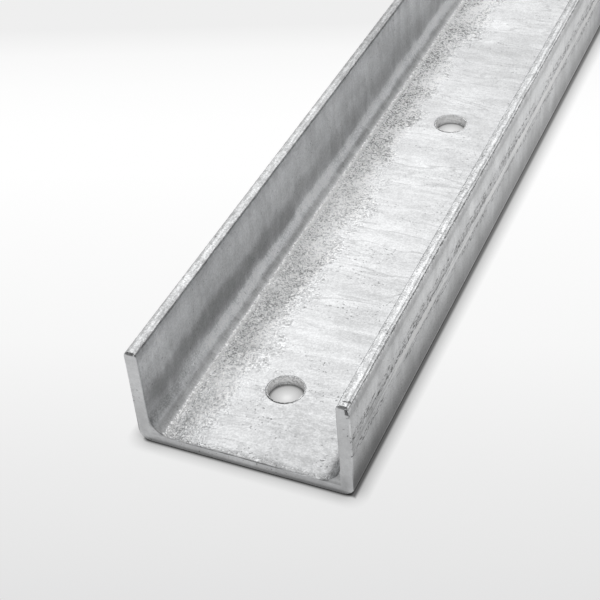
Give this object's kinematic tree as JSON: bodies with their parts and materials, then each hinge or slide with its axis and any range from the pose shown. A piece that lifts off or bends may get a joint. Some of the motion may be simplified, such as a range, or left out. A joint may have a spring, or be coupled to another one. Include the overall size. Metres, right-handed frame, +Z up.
{
  "type": "c-channel post",
  "caption": "Galvanised parallel-flange C-channel post with a row of bolt holes along the middle of its web; sleepers slide into its trough.",
  "frame": {"origin": "under the middle of the web, on the back face that the post lies on, halfway along its length", "axes": "+Z up out of the trough, +Y along the length away from the end that the first hole is measured from, +X across the web"},
  "size_m": [0.1, 1.2, 0.05],
  "materials": {
    "galvanised_steel": "hot-dip galvanised, matt to satin zinc grey with a rough grain and streaks"
  },
  "bodies": {
    "root": {"channel_post": "galvanised_steel"}
  },
  "joints": []
}
